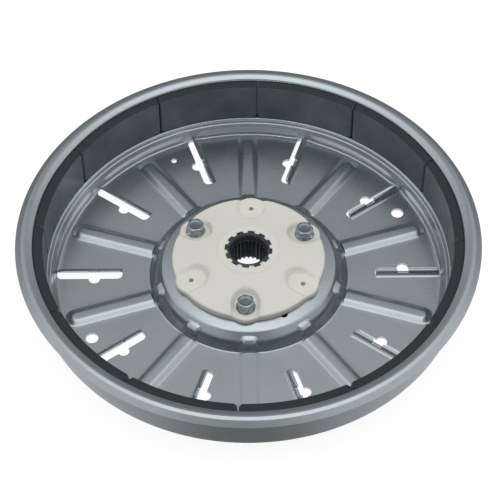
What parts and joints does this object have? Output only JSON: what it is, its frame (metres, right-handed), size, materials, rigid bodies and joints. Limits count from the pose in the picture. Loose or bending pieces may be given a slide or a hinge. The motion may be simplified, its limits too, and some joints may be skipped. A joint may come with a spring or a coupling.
{
  "type": "motor rotor",
  "caption": "Outer rotor of a direct-drive washing machine motor: a pressed steel bowl with curved magnets inside its rim, and a bolted resin hub with a splined bush.",
  "frame": {"origin": "on the shaft axis, in the plane of the underside of the bowl's floor", "axes": "+Z along the shaft axis, out of the open side; +X along the middle of one louvred slot"},
  "size_m": [0.299, 0.299, 0.045],
  "materials": {
    "galvanised_steel": "satin zinc-coated sheet",
    "ferrite": "smooth dark grey sintered ferrite, slightly glossy",
    "hub_resin": "satin glass-filled moulding resin",
    "bush_steel": "dark sintered steel",
    "zinc_plated_steel": "bright zinc plating",
    "weld_nut_steel": "plain steel"
  },
  "bodies": {
    "root": {"rotor_frame": "galvanised_steel", "magnet_01": "ferrite", "magnet_02": "ferrite", "magnet_03": "ferrite", "magnet_04": "ferrite", "magnet_05": "ferrite", "magnet_06": "ferrite", "magnet_07": "ferrite", "magnet_08": "ferrite", "magnet_09": "ferrite", "magnet_10": "ferrite", "magnet_11": "ferrite", "magnet_12": "ferrite", "hub_connector": "hub_resin", "spline_bush": "bush_steel", "hub_bolt_1": "zinc_plated_steel", "hub_bolt_2": "zinc_plated_steel", "hub_bolt_3": "zinc_plated_steel", "weld_nut_1": "weld_nut_steel", "weld_nut_2": "weld_nut_steel", "weld_nut_3": "weld_nut_steel"}
  },
  "joints": []
}
